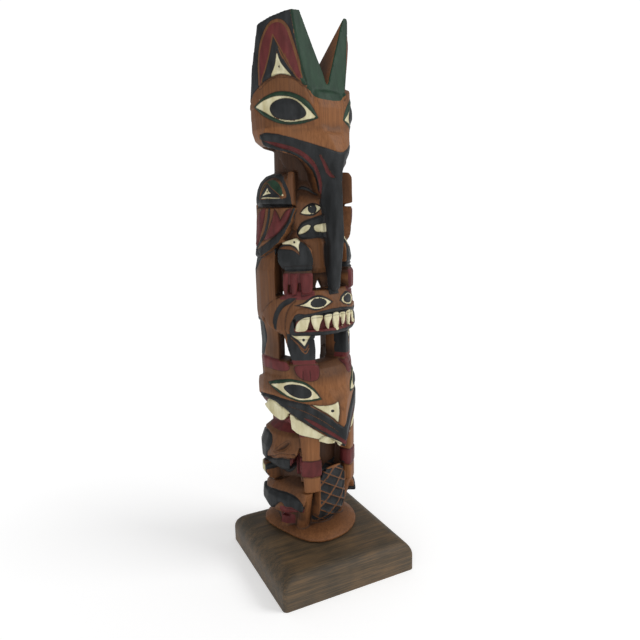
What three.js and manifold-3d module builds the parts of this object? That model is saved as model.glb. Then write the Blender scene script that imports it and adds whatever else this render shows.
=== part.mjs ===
// A model totem pole: one cedar log carved with three stacked figures, on a square plinth.
// Millimetres, +Z up, origin in the middle of the plinth's underside.
//
// The log is carved in its own frame: its axis is x = y = 0, the figures face -Y, and a place
// on its bark is given as [angle, height], where angle 0 is the front and grows to the viewer's
// right. Left and right mirror each other, so each limb is made on the viewer's left and paired.

import * as THREE from 'three';
import { ConvexGeometry } from 'three/addons/geometries/ConvexGeometry.js';
import { mergeVertices } from 'three/addons/utils/BufferGeometryUtils.js';
import Module from 'manifold-3d';

const wasm = await Module();
wasm.setup();

// ---------------------------------------------------------------- driving dimensions

const PLINTH_SIDE = 89;          // a piece of 1 x 4 board, cut square
const PLINTH_HEIGHT = 19;
const PLINTH_ROUNDING = 9.5;     // the router's radius along the top edges
const PLINTH_CORNER = 2.5;       // the sanded upright corners

const LOG_RADIUS = 30.5;         // the whole pole is carved out of this log
const POLE_TURN = 13;            // degrees the pole stands turned on its plinth
const POLE_PLACE = [-0.9, 11.6]; // where the log's axis stands on the plinth
const SEAT_GAP = 0.3;            // between the log's foot and the plinth
const SEGMENTS = 22;             // sides of a round form

const MOUND_TOP = 25.6;            // the log's foot rises from its edge to here
const BEAVER_CROWN = 134;        // top of the lowest head
const BEAR_CHIN = 152.5;
const BEAR_CROWN = 178.8;
const BODY_BOTTOM = 188;         // underside of the bird's body, between its legs
const BIRD_CROWN = 292;          // where the two crest horns part
const POLE_TOP = 330.2;

// ---------------------------------------------------------------- solids from geometry

function solid(geometry) {
  const bare = geometry.clone();
  bare.deleteAttribute('normal');
  bare.deleteAttribute('uv');
  const merged = mergeVertices(bare, 1e-4);
  return new wasm.Manifold(new wasm.Mesh({
    numProp: 3,
    vertProperties: Float32Array.from(merged.attributes.position.array),
    triVerts: Uint32Array.from(merged.index.array),
  }));
}

function mirrored(shape) {
  const mesh = shape.getMesh();
  const places = Float32Array.from(mesh.vertProperties);
  const corners = Uint32Array.from(mesh.triVerts);
  for (let i = 0; i < places.length; i += mesh.numProp) places[i] *= -1;
  for (let i = 0; i < corners.length; i += 3) {
    [corners[i], corners[i + 1]] = [corners[i + 1], corners[i]];
  }
  return new wasm.Manifold(new wasm.Mesh({
    numProp: mesh.numProp, vertProperties: places, triVerts: corners,
  }));
}

const joined = (...shapes) => shapes.reduce((whole, shape) => whole.add(shape));
const pair = (shape) => shape.add(mirrored(shape));
const turned = (degrees) => THREE.MathUtils.degToRad(degrees);

// A point at an angle round the log, a distance from its axis and a height.
function at(angle, radius, z) {
  const a = turned(angle);
  return new THREE.Vector3(radius * Math.sin(a), -radius * Math.cos(a), z);
}

// A round form from a profile of [radius, z], from the bottom up. It closes on the axis.
function lathe(profile, { segments = SEGMENTS, y = 0 } = {}) {
  const bottom = profile[0][1];
  const top = profile[profile.length - 1][1];
  const points = [[0, bottom], ...profile, [0, top]].map(([r, z]) => new THREE.Vector2(r, z));
  const geometry = new THREE.LatheGeometry(points, segments);
  geometry.rotateX(Math.PI / 2);
  geometry.translate(0, y, 0);
  return solid(geometry);
}

// The log between two depths under its bark, as a drum with a hole down the middle.
function drum(inner, outer, bottom, top) {
  const profile = [[inner, bottom], [outer, bottom], [outer, top], [inner, top], [inner, bottom]];
  const points = profile.map(([r, z]) => new THREE.Vector2(r, z));
  const geometry = new THREE.LatheGeometry(points, SEGMENTS);
  geometry.rotateX(Math.PI / 2);
  return solid(geometry);
}

// Carves a form out of the log along an outline of [angle, height] places on its bark. It keeps
// the wood between the two radii, or what another solid between them has inside the outline.
function carved(outline, inner, outer, form) {
  const heights = outline.map(([, z]) => z);
  const kept = form ?? drum(inner, outer, Math.min(...heights) - 1, Math.max(...heights) + 1);
  return spread(outline, inner, outer).intersect(kept);
}

// The outline spread from the axis to well outside the bark. Two more layers just off the depths
// that are kept hold its sides true.
function spread(outline, inner, outer) {
  const LAYERS = [70, outer + 0.5, inner - 0.5, 1];
  const STEP = 15; // degrees
  const ring = outline.flatMap(([angle, z], i) => {
    const [nextAngle, nextZ] = outline[(i + 1) % outline.length];
    const steps = Math.max(1, Math.ceil(Math.abs(nextAngle - angle) / STEP));
    return Array.from({ length: steps }, (_, s) => new THREE.Vector2(
      angle + (nextAngle - angle) * s / steps, z + (nextZ - z) * s / steps,
    ));
  });
  if (THREE.ShapeUtils.isClockWise(ring)) ring.reverse();
  const n = ring.length;
  const places = LAYERS.flatMap((radius) => ring.flatMap(({ x, y }) => at(x, radius, y).toArray()));
  const corners = [];
  const deepest = n * (LAYERS.length - 1);
  for (const [a, b, c] of THREE.ShapeUtils.triangulateShape(ring, [])) {
    corners.push(a, b, c, deepest + a, deepest + c, deepest + b);
  }
  for (let k = 0; k < deepest; k += n) {
    for (let i = 0; i < n; i++) {
      const j = (i + 1) % n;
      corners.push(k + i, k + n + i, k + n + j, k + i, k + n + j, k + j);
    }
  }
  return meshed(places, corners);
}

// A form through stacked rings of points, each ring anticlockwise seen from above.
function loft(rings) {
  const n = rings[0].length;
  const places = rings.flat().flatMap((p) => p.toArray());
  const corners = [];
  for (let k = 0; k + 1 < rings.length; k++) {
    for (let i = 0; i < n; i++) {
      const j = (i + 1) % n;
      const [a, b, c, d] = [k * n + i, k * n + j, (k + 1) * n + j, (k + 1) * n + i];
      corners.push(a, b, c, a, c, d);
    }
  }
  const flat = (ring) => ring.map((p) => new THREE.Vector2(p.x, p.y));
  const last = (rings.length - 1) * n;
  for (const [a, b, c] of THREE.ShapeUtils.triangulateShape(flat(rings[0]), [])) {
    corners.push(c, b, a);
  }
  for (const [a, b, c] of THREE.ShapeUtils.triangulateShape(flat(rings.at(-1)), [])) {
    corners.push(last + a, last + b, last + c);
  }
  return meshed(places, corners);
}

function meshed(places, corners) {
  const geometry = new THREE.BufferGeometry();
  geometry.setAttribute('position', new THREE.Float32BufferAttribute(places, 3));
  geometry.setIndex(corners);
  return solid(geometry);
}

// A loft of left-right symmetric sections: { z, half: [[x, y], ...] } lists the viewer's right
// half from front to back.
function symmetricLoft(sections) {
  return loft(sections.map(({ z, half }) => [
    ...half.map(([x, y]) => new THREE.Vector3(x, y, z)),
    ...half.map(([x, y]) => new THREE.Vector3(-x, y, z)).reverse(),
  ]));
}

const hull = (...points) => solid(new ConvexGeometry(points));

function ball(centre, radii, around) {
  const geometry = new THREE.SphereGeometry(1, around, around / 2);
  geometry.scale(...radii);
  geometry.translate(...centre.toArray());
  return solid(geometry);
}

// A round bar between two points.
function bar(from, to, startRadius, endRadius = startRadius, sides = 12) {
  const along = to.clone().sub(from);
  const geometry = new THREE.CylinderGeometry(endRadius, startRadius, along.length(), sides);
  geometry.translate(0, along.length() / 2, 0);
  geometry.applyQuaternion(new THREE.Quaternion()
    .setFromUnitVectors(new THREE.Vector3(0, 1, 0), along.normalize()));
  geometry.translate(...from.toArray());
  return solid(geometry);
}

// All the room on the side of a plane that the direction points to.
function beyond(point, direction) {
  const SIZE = 400;
  const geometry = new THREE.BoxGeometry(SIZE, SIZE, SIZE);
  geometry.translate(0, 0, SIZE / 2);
  geometry.applyQuaternion(new THREE.Quaternion()
    .setFromUnitVectors(new THREE.Vector3(0, 0, 1), direction.clone().normalize()));
  geometry.translate(...point.toArray());
  return solid(geometry);
}

// A saw cut, which takes away what lies beyond a plane.
const sawn = (shape, point, direction) => shape.subtract(beyond(point, direction));

// A V cut between two mirrored planes that meet at a point.
const veed = (shape, point, direction) => shape.subtract(beyond(point, direction)
  .intersect(beyond(point, vec(-direction.x, direction.y, direction.z))));

const vec = (x, y, z) => new THREE.Vector3(x, y, z);

// ---------------------------------------------------------------- the bird at the top

// The crest: two flat-fronted horns on the log's bark, parted by a V and hollowed from behind.
function crestHorns() {
  const BARK = 29.3;
  const ROOT = 282;
  const PARTING = 1.2;      // the V stands this far to the viewer's right
  const FRONT = vec(0, -26, 289);
  const TOP = vec(0, -21.5, POLE_TOP);
  const BACK = vec(0, 9.4, 288);
  let horns = lathe([[BARK, ROOT], [BARK, POLE_TOP + 4]]);
  horns = sawn(horns, FRONT, vec(0, -1, 0.11));
  horns = sawn(horns, TOP, vec(-0.04, 0.25, 1));
  horns = sawn(horns, BACK, vec(0, 1, 0.324));
  horns = sawn(horns, at(52, 26.6, 289), at(52, 1, -0.1)); // pared away beside the right brow
  horns = veed(horns, vec(PARTING, 0, BIRD_CROWN), vec(1, 0, 0.41));
  return veed(horns, vec(PARTING, -4.5, BIRD_CROWN), vec(1.168, 1, 0.924));
}

function birdHead() {
  const FORWARD = -1.7; // the head's own middle, ahead of the log's axis
  const barrel = lathe([
    [13, 258], [23, 261], [27.4, 264.8], [29, 270], [29.2, 280], [26.8, 288.4], [20, 291.5],
  ], { y: FORWARD });
  // The domes that carry the eyes rise as an arch against the horns' sides.
  const dome = (drop) => carved(
    [[-24, 276], [-24, 289], [-34, 294.4 - drop], [-48, 297.8 - drop], [-65, 299 - drop],
      [-82, 297.6], [-98, 294], [-112, 287], [-118, 276]],
    18, 32, lathe([[29.4, 275], [29, 300]], { y: FORWARD }),
  ).subtract(lathe([[18, 270], [18, 301]], { segments: 12 }));
  return joined(barrel, dome(0), mirrored(dome(5)));
}

// The brown root of the beak: a flat facet on each side, down from under the brow to a sharp edge.
function beakRoot() {
  const edge = [[-80, 30.6, 267.3], [-62, 30, 265.6], [-47, 29.8, 263.8], [-27, 31.6, 260.6],
    [-12, 35.2, 257.2], [-3.5, 37, 255]];
  const top = [[-78, 30.2, 270], [-45, 29.8, 270.5], [-14, 31, 270]];
  const under = [[-75, 29.2, 262], [-47, 28.4, 258.5], [-20, 29.6, 252], [-4, 35.8, 250]];
  const side = [...edge, ...top, ...under];
  return hull(
    ...side.map(([angle, radius, z]) => at(angle, radius, z)),
    ...side.map(([angle, radius, z]) => at(-angle, radius, z)),
    vec(0, 0, 268), vec(0, 0, 258),
  );
}

// The long beak with its lips: a blade down the front that widens upwards into the cheeks.
function beak() {
  return symmetricLoft([
    { z: BEAR_CROWN - 0.6, half: [[1.2, -30.6], [1.8, -29.6], [1.8, -27.8], [1.2, -27]] },
    { z: BEAR_CROWN + 1.4, half: [[1.7, -32], [2.6, -30], [2.6, -27.2], [1.7, -26.4]] },
    { z: 208, half: [[2.7, -35.2], [3.5, -31], [3.8, -26], [3.4, -22]] },
    { z: 230, half: [[2.2, -35], [3.6, -30], [5.2, -24], [4.8, -14]] },
    { z: 240, half: [[2, -34.8], [4, -29.8], [8.6, -25], [8, -10]] },
    { z: 246, half: [[2.1, -35.4], [5, -30], [12.6, -24], [12, -6]] },
    { z: 251, half: [[2.3, -36.2], [9, -29.8], [19, -20.6], [17, -2]] },
    { z: 256, half: [[2.6, -36.8], [13.6, -28], [25.6, -13.2], [20, 2]] },
    { z: 261, half: [[4, -35], [17, -25.6], [29.4, -5.4], [20, 6]] },
    { z: 266, half: [[6, -33], [18, -24.4], [30.3, -4], [22, 8]] },
  ]);
}

// The throat, cut away under the lips on each side back to the neck.
function throat() {
  return carved([[-9.4, 214], [-10.4, 226], [-12, 232], [-15.6, 236.6], [-18, 241], [-22, 245.7],
    [-28, 249], [-36, 252.3], [-47, 255], [-66, 257.6], [-78, 259.4], [-92, 261.4], [-130, 262],
    [-130, 214]], 14.5, 42);
}

// Neck and body: a thick post behind everything, with a face in relief on the chest.
function birdBody() {
  const post = lathe([
    [15, BODY_BOTTOM - 1], [19.5, BODY_BOTTOM + 1.5], [22, 195], [22, 233], [17.6, 240],
    [14.2, 247], [14, 260],
  ], { segments: 20, y: 2.5 });
  const chestFace = ball(vec(0, -5, 222), [21, 21.5, 18.5], 12);
  const chest = lathe([[18, BODY_BOTTOM], [20.5, 192], [20.5, 206], [18, 214]],
    { segments: 20, y: -4 });
  // Between the feet the wood is pierced to a small pointed arch.
  const ARCH = { top: BODY_BOTTOM - 3, front: 5, back: 6.4 };
  const pier = hull(...[[-15, ARCH.front], [-12, ARCH.back]].flatMap(([y, reach]) => [
    vec(-17, y, BEAR_CROWN - 6), vec(-reach, y, BEAR_CROWN - 6), vec(-reach, y, BEAR_CROWN - 0.8),
    vec(0.2, y, ARCH.top), vec(0.2, y, BODY_BOTTOM + 2), vec(-17, y, BODY_BOTTOM + 2),
  ]));
  const back = carved([[132, 203], [132, 228], [155, 236], [205, 236], [228, 228], [228, 203],
    [180, 196]], 12, 27.8);
  return joined(post, chestFace, chest, back, pair(pier));
}

// A folded wing: a rounded shoulder that overhangs the feathers, which taper to a low point.
function wing() {
  const FORWARD = -2.6;
  const SHOULDER_BOTTOM = 227.6;
  const shoulder = carved(
    [[-46.5, 227], [-48, 233], [-52, 239], [-58, 243.5], [-66, 246.4], [-130, 246], [-130, 227]],
    15, 33, lathe([[25, SHOULDER_BOTTOM], [28.8, SHOULDER_BOTTOM + 1], [28.8, 232],
      [27.8, 237], [26, 241], [22.6, 244.4], [16, 246.8]], { y: FORWARD }),
  );
  // The wing's front edge stays square, as high as the shoulder.
  const edges = [[-45.5, -52, 29.4, 243.4], [-52, -58.5, 29, 239.4]].map(([front, rear, radius, z]) =>
    carved([[front, 226.8], [front, 247], [rear, 247], [rear, 226.8]], 15, 33,
      lathe([[26, SHOULDER_BOTTOM], [radius, SHOULDER_BOTTOM + 0.8], [radius, z],
        [radius - 1.8, z + 2.8], [20, 246.6]], { y: FORWARD })));
  const feathers = carved(
    [[-43.5, 226.6], [-49.3, 218.4], [-56, 212.5], [-64, 207], [-76, 202.5], [-90, 198.8],
      [-104, 197], [-112, 198.5], [-120, 204], [-130, 207], [-130, 226.2]],
    15, 33, lathe([[30, 196], [30.8, 199], [29.6, 206], [28.8, 226.2]], { y: FORWARD }),
  );
  const undercut = carved([[-50, 225], [-50, 230], [-126, 230], [-126, 225]], 18, 26.6);
  const bodyRoom = lathe([[15, 190], [15, 250]], { segments: 12 });
  return joined(shoulder, ...edges, feathers, undercut).subtract(bodyRoom);
}

// A leg over the bear's brow: a black thigh and three claws that grip.
function birdLeg() {
  const thigh = carved(
    [[-68, 203], [-62, 207.5], [-48, 209], [-36, 206], [-27, 202.5], [-25.5, 194], [-29, 190],
      [-59, 190], [-66, 195]],
    13, 31, lathe([[27.2, 188], [29, 192.4], [29.8, 196], [28.8, 202], [25.6, 209]]).subtract(
      lathe([[13, 180], [13, 215]], { segments: 12 })),
  );
  const foot = carved(
    [[-60.5, 190.5], [-27.5, 190.5], [-27.5, BEAR_CROWN - 0.4], [-42, BEAR_CROWN - 0.6],
      [-61, BEAR_CROWN - 3]],
    14, 30.2,
  );
  const cleft = (angle, top) => hull(
    at(angle, 34, top), at(angle - 3.2, 34, 174), at(angle + 3.2, 34, 174),
    at(angle, 27, top), at(angle - 3.2, 27, 174), at(angle + 3.2, 27, 174),
  );
  return joined(thigh, foot).subtract(cleft(-53.5, 186)).subtract(cleft(-42.5, 187));
}

// The wood left between the leg and the post on the viewer's left, down to the bear's brow.
function legWeb() {
  return carved([[-58, 204], [-58, 176], [-76, BEAR_CROWN - 1.4], [-104, BEAR_CROWN - 1.6],
    [-104, 204]], 13, 19.4);
}

// ---------------------------------------------------------------- the bear in the middle

// The posts at the two sides: the bird's tail above, the bear's arms below. Behind them the
// log is hollowed, so the gaps between the limbs show daylight.
function sidePost() {
  const INNER_X = -18;
  const trim = (shape, backX) => {
    let post = sawn(shape, vec(INNER_X, 0, 0), vec(1, 0, 0));
    post = sawn(post, vec(backX, 7, 0), vec(0.79, 0.61, 0));
    return sawn(post, vec(INNER_X, -3, 0), vec(0.5, -0.87, 0));
  };
  const tail = trim(carved([[-66, 203], [-66, 176], [-86, 168], [-98, 159], [-140, 159],
    [-140, 203]], 12, 29.8, lathe([[29.2, 159], [29.8, 165], [29.8, 190], [28.4, 197],
    [26.2, 203]])), -20);
  const arm = trim(carved([[-62, 156], [-62, 133], [-70, 118], [-140, 118], [-140, 160], [-90, 160]],
    12, 29, lathe([[27.6, 117], [28.2, 135], [27.6, 145], [28.4, 160]])), -18.4);
  const hand = carved([[-62, 136.5], [-58, 133], [-60, 127], [-108, 127], [-104, 136.5]], 16, 28.9);
  return joined(tail, arm, hand);
}

function bearHead() {
  const BACK = 9;
  const block = lathe([
    [28, BEAR_CHIN], [30.4, 156], [30.5, 170], [30, 175.4], [28.4, BEAR_CROWN],
  ]);
  const bothSides = (half) => [...half, ...half.map(([angle, z]) => [-angle, z]).reverse()];
  const face = carved(bothSides([[-58, 152.3], [-68, 152.9], [-84, 158], [-95, 164.4], [-88, 168],
    [-76, 172.6], [-64, 176], [-47, 178.2], [-31, 180]]), 1.5, 32, block);
  // The muzzle: heavy lips round an open, grinning mouth.
  const mouth = carved(bothSides([[-46, 155.6], [-50, 157], [-51, 162], [-46, 164.8], [-33, 165.2],
    [-12, 166.3]]), 28, 36);
  const lips = carved(bothSides([[-50, BEAR_CHIN + 0.2], [-54, 156], [-52, 163.5], [-46, 168.2],
    [-33, 169], [-12, 170.3]]), 20, 32, lathe([[30, BEAR_CHIN], [31.3, 154.5],
    [31.6, 168], [30.4, 170.6]]));
  const nose = hull(...[-1, 1].flatMap((side) => [at(14 * side, 29.6, 172), at(12 * side, 31.4, 166.4),
    at(6 * side, 32, 170), at(6 * side, 29.4, 177)]));
  const head = sawn(face, vec(0, BACK, 0), vec(0, 1, 0));
  const SLOPE = vec(0, 0.3, 1); // the crown falls away to the back
  // Behind the face the head is a plain block that ties the two side posts together.
  const nape = hull(...[[27.8, -9], [27.6, 4], [22, BACK]].flatMap(([x, y]) => [156, 175.5].flatMap(
    (z) => [vec(x, y, z), vec(-x, y, z)])));
  return joined(
    sawn(joined(nape, head), vec(0, -17, BEAR_CROWN), SLOPE),
    sawn(lips, vec(0, 0, 0), vec(0, 1, 0)),
    nose,
  ).subtract(mouth).add(bearTeeth());
}

// Teeth stand in the open mouth, hung from the upper lip. They aren't quite the same on both sides.
function bearTeeth() {
  const [INNER, OUTER, GUM] = [26, 30.3, 165];
  const teeth = [
    [-47.6, -32, [-35.6, 156], [-47.4, 155.8]],
    [-30.4, -16.6, [-22.4, 155.8], [-28, 157]],
    [-14.8, -4.8, [-9.6, 155.8], [-11, 155.8]],
    [-4.2, 8.4, [4.6, 155], [-1, 155]],
    [9.4, 19.6, [15.6, 156], [13.4, 156]],
    [20.6, 30, [26, 156.4], [23.6, 156.4]],
    [31.4, 45, [44, 156.4], [36, 156]],
  ];
  return joined(...teeth.map(([left, right, tipRight, tipLeft]) => carved(
    [[left, GUM], tipLeft, tipRight, [right, GUM]], INNER, OUTER)));
}

// A leg: a black block under the chin and a red foot on the beaver's brow.
function bearLeg() {
  const shin = carved([[-65, 153.5], [-60, 145], [-53, 134], [-26, 134], [-25, 143], [-27, 153.5]],
    14, 28.4);
  const foot = carved([[-60, 135.5], [-22, 135], [-20, 124], [-47, 122], [-57, 127]],
    14, 30, lathe([[29.5, 120], [29.2, 128], [28, 134], [25, 136]]).subtract(
      lathe([[14, 110], [14, 140]], { segments: 12 })));
  return joined(shin, foot);
}

// ---------------------------------------------------------------- the beaver at the foot

function beaverHead() {
  const barrel = lathe([
    [30.4, 80], [30.8, 117], [29.6, 126], [27, 131], [23, BEAVER_CROWN],
  ]);
  // The snout: two flat cheeks that meet in a ridge, drawn out of the barrel.
  const cheek = [-70, -58, -46, -34].flatMap((angle) => [at(angle, 30.9, 117), at(angle, 30.4, 92)]);
  const nose = [vec(-0.6, -36.4, 82), vec(-0.6, -36.6, 88), vec(-2.2, -35.8, 104),
    vec(-4, -34.6, 109), vec(-8, -28, 123)];
  const snout = hull(...[...cheek, ...nose].flatMap((p) => [p, vec(-p.x, p.y, p.z)]));
  // The jaw runs up and back from the snout's tip.
  const JAW_RISE = 0.585;
  const SLOPE = vec(0, 0.4, 1); // the crown falls away to the back
  const head = sawn(sawn(joined(barrel, snout), vec(0, -36.4, 81.5), vec(0, JAW_RISE, -1)),
    vec(0, -14, BEAVER_CROWN), SLOPE);
  const lipLine = [[-101, 112], [-90, 112.4], [-74, 110.6], [-57.4, 104.2], [-35.2, 96.8],
    [-18.4, 89.4], [-5, 84.6]];
  const under = [[-5, 74], [-130, 74], [-130, 112]];
  const hollow = drum(15, 44, 73, 114).subtract(lathe([[17, 73], [17, 94], [25, 101.5],
    [29, 108.5], [30, 114]], { segments: 16 }));
  const mouth = carved([...lipLine, ...under], 15, 44, hollow);
  const toothBack = carved([[-100.5, 106.5], [-84, 111.4], [-60, 105.4], [-64, 100], [-72, 99],
    [-92, 103.6]], 24, 30.2);
  const toothFront = carved([[-58.6, 104], [-36, 96.6], [-18, 89.6], [-22, 88.4], [-34, 89.6],
    [-50, 92], [-57, 95]], 22, 30.4);
  const toothTip = carved([[-24.5, 86.8], [-18.5, 90], [-4, 86], [-5, 83.4], [-14, 84.2]], 20, 30.8);
  const tongue = lathe([[20, 80], [24, 90], [24, 104]], { segments: 16, y: -5 });
  return joined(head.subtract(pair(mouth)), pair(toothBack), pair(toothFront), pair(toothTip),
    sawn(tongue, vec(0, -36.4, 81.5), vec(0, JAW_RISE, -1)));
}

function beaverBody() {
  const trunk = lathe([[19, MOUND_TOP - 4], [19, 34], [20, 92], [22, 112]], { segments: 20, y: 2 });
  const groin = carved([[-50, 97], [-35, 97], [-35, 58], [-50, 58]], 13, 25);
  const back = carved([[158, 33], [158, 108], [180, 112], [202, 108], [202, 33], [180, 28]],
    12, 27.4);
  return joined(trunk, back, pair(groin));
}

// A forearm straight down from under the jaw, with a wristband, holding the tail.
function beaverForearm() {
  const [x, y] = [-16, -23.4];
  const form = joined(
    bar(vec(x, y, 75), vec(x, y + 1.5, 97), 5.4, 7),
    bar(vec(x, y, 63.5), vec(x, y, 75.4), 6.2, 6),
    bar(vec(x + 0.4, y, 53.5), vec(x, y, 64), 5.2, 5.4),
  );
  return form.intersect(lathe([[LOG_RADIUS, 50], [LOG_RADIUS, 100]]));
}

function beaverTail() {
  const half = [[0, 67.4], [5, 66.6], [8.4, 63.6], [10.2, 58], [10.6, 46], [10.2, 36],
    [9, MOUND_TOP - 3]];
  const outline = [...half, ...half.slice(1).map(([x, z]) => [-x, z]).reverse()];
  const shape = new THREE.Shape(outline.map(([x, z]) => new THREE.Vector2(x, z)));
  const geometry = new THREE.ExtrudeGeometry(shape, { depth: 14, bevelEnabled: false });
  geometry.rotateX(Math.PI / 2);
  geometry.translate(0, -14, 0);
  const bent = solid(geometry).intersect(lathe([[8, 22], [15.6, 28.6], [20, 34], [22, 42], [22, 74]],
    { y: -5 }));
  return sawn(bent, vec(0, -26, 67.4), vec(0, 0.8, 1));
}

// Folded legs up each flank: a thigh with its paw above, a knee and foot below.
function beaverFlank() {
  const thigh = carved([[-46, 96], [-46, 86], [-51, 78], [-64, 66.4], [-80, 64], [-127, 62],
    [-127, 98]],
  13, 31, lathe([[24, 64], [30, 70], [30.4, 79], [27.2, 88], [17, 96]]));
  const ledge = carved([[-96, 65], [-99, 72], [-74, 76], [-53, 79], [-46, 70], [-46, 62]], 27.8, 34);
  const joint = carved([[-101, 65], [-101, 55], [-108, 53.4], [-127, 53.4], [-127, 65]],
    14, 32, lathe([[24, 53.4], [28.8, 57], [30.8, 60], [30.6, 64], [28.6, 65.4]]));
  const knee = carved([[-46, 41], [-42.5, 47], [-45, 54], [-56, 58], [-76, 58.4], [-98, 54],
    [-118, 52], [-127, 52], [-127, 31.5], [-100, 36], [-70, 37.6]],
  13, 32, lathe([[22, 31], [28, 35.4], [30.6, 41], [30, 47], [25, 53.6], [18, 59]]));
  const toes = hull(...[[MOUND_TOP - 4, 0.6], [MOUND_TOP + 4, 0]].flatMap(([z, out]) => [
    vec(-22 - out, 2, z), vec(-20.4 - out, -2 - out, z), vec(-12.4 - out, -9 - out, z),
    vec(-10, -5, z), vec(-14, 4, z)]));
  const shin = bar(vec(-13.6, -9.4, MOUND_TOP - 4), vec(-16.2, -18, 52), 4.2);
  return joined(thigh.subtract(ledge), joint, knee, toes, shin);
}

// The log's foot: a low mound with a thin edge, flattened towards the viewer's left.
function mound() {
  const seat = PLINTH_HEIGHT + SEAT_GAP;
  const EDGE = 31.3;
  const MIDDLE = vec(-0.5, 0, 0);
  const FLAT = { angle: -82, depth: 23.8 };
  const BLEND = 8; // how sharply the flat meets the round edge
  const reach = (angle) => {
    const off = Math.max(0, Math.cos(turned(angle - FLAT.angle)));
    return (EDGE ** -BLEND + (off / FLAT.depth) ** BLEND) ** (-1 / BLEND);
  };
  const layers = [[0.97, seat], [1, seat + 0.9], [0.985, seat + 2], [0.85, 23.4], [0.55, MOUND_TOP]];
  const AROUND = 28;
  return loft(layers.map(([share, z]) => Array.from({ length: AROUND }, (_, i) => {
    const angle = 360 * i / AROUND - 180;
    return at(angle, share * reach(angle), z).add(MIDDLE);
  })));
}

// ---------------------------------------------------------------- the two pieces

function pole() {
  const head = joined(crestHorns(), birdHead(), beakRoot(), beak()).subtract(pair(throat()));
  const bird = joined(head, birdBody(), pair(wing()), pair(birdLeg()), legWeb());
  const bear = joined(bearHead(), pair(bearLeg()), pair(sidePost()));
  const beaver = joined(beaverHead(), beaverBody(), pair(beaverForearm()), beaverTail(),
    pair(beaverFlank()));
  return joined(bird, bear, beaver, mound());
}

function roundedSquare(side, corner, z) {
  const CORNER_STEPS = 3;
  const ring = [];
  for (let quarter = 0; quarter < 4; quarter++) {
    const middle = turned(45 + 90 * quarter);
    const reach = (side / 2 - corner) * Math.SQRT2;
    for (let s = 0; s <= CORNER_STEPS; s++) {
      const a = turned(90 * quarter + 90 * s / CORNER_STEPS);
      ring.push(vec(reach * Math.cos(middle) + corner * Math.cos(a),
        reach * Math.sin(middle) + corner * Math.sin(a), z));
    }
  }
  return ring;
}

function plinth() {
  const ARC_STEPS = 6;
  const rings = [roundedSquare(PLINTH_SIDE, PLINTH_CORNER, 0)];
  for (let s = 0; s <= ARC_STEPS; s++) {
    const a = turned(90 * s / ARC_STEPS);
    const inset = PLINTH_ROUNDING * (1 - Math.cos(a));
    const z = PLINTH_HEIGHT - PLINTH_ROUNDING + PLINTH_ROUNDING * Math.sin(a);
    rings.push(roundedSquare(PLINTH_SIDE - 2 * inset, PLINTH_CORNER, z));
  }
  return loft(rings);
}

function named(name, shape, material) {
  const { vertProperties, triVerts } = shape.getMesh();
  const geometry = new THREE.BufferGeometry();
  geometry.setAttribute('position', new THREE.Float32BufferAttribute(vertProperties, 3));
  geometry.setIndex(Array.from(triVerts));
  geometry.computeVertexNormals();
  const mesh = new THREE.Mesh(geometry, material);
  mesh.name = name;
  return mesh;
}

const wood = (color, roughness) => new THREE.MeshStandardMaterial({ color, roughness, metalness: 0 });
const paintedCedar = wood(0x9a5a33, 0.5);
const stainedBoard = wood(0x4d443a, 0.6);

const poleMesh = named('pole', pole(), paintedCedar);
poleMesh.position.set(POLE_PLACE[0], POLE_PLACE[1], 0);
poleMesh.rotation.z = turned(POLE_TURN);

const totemPole = new THREE.Group();
totemPole.add(named('plinth', plinth(), stainedBoard), poleMesh);

export default totemPole;
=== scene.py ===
# %% [markdown]
# # A carved and painted model totem pole
#
# The piece is a cedar log about 60 mm thick, carved with a bird, a bear and a beaver that stand
# on one another, then stained, painted in four colours and set on a dark square board. This
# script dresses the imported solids: it turns a copy of the pole into a fine mesh, cuts the shallow
# carving into it, paints it, and makes the plinth, the floor, the lights and the camera.

import math

import bpy
import numpy as np
from mathutils import Matrix, Vector


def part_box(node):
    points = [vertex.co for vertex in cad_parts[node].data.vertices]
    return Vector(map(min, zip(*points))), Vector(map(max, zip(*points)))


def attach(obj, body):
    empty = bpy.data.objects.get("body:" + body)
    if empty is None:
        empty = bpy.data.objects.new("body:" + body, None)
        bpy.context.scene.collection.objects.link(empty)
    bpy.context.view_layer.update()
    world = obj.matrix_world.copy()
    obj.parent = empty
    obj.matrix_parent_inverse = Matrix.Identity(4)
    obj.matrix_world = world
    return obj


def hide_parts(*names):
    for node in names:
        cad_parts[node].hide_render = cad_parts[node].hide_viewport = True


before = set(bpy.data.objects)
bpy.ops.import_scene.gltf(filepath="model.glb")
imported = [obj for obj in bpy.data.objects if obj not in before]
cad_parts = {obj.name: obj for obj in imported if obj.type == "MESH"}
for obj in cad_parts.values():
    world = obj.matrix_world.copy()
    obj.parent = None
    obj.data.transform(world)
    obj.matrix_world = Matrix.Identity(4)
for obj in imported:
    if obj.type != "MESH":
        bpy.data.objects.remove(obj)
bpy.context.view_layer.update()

# %% [markdown]
# ## Working habits
#
# Every operator acts on what is selected, so each step starts from nothing selected. Sizes are
# in millimetres where a carver would measure them, and become metres where Blender needs them.

# %% Selection and sizes
MM = 0.001


def select_only(piece):
    bpy.ops.object.select_all(action="DESELECT")
    piece.select_set(True)
    bpy.context.view_layer.objects.active = piece


def apply_modifier(piece, kind, **settings):
    select_only(piece)
    modifier = piece.modifiers.new(kind.lower(), kind)
    for name, value in settings.items():
        setattr(modifier, name, value)
    bpy.ops.object.modifier_apply(modifier=modifier.name)


def triangles(piece):
    return sum(len(face.vertices) - 2 for face in piece.data.polygons)


# %% [markdown]
# ## Shader arithmetic
#
# A material is easier to read as an expression than as a list of links. `Value` wraps one socket,
# and its operators add Math nodes, so `1 - mask * 0.5` builds what it says. Colours are blended
# with Mix nodes instead, because a Math node turns a colour grey.

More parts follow.
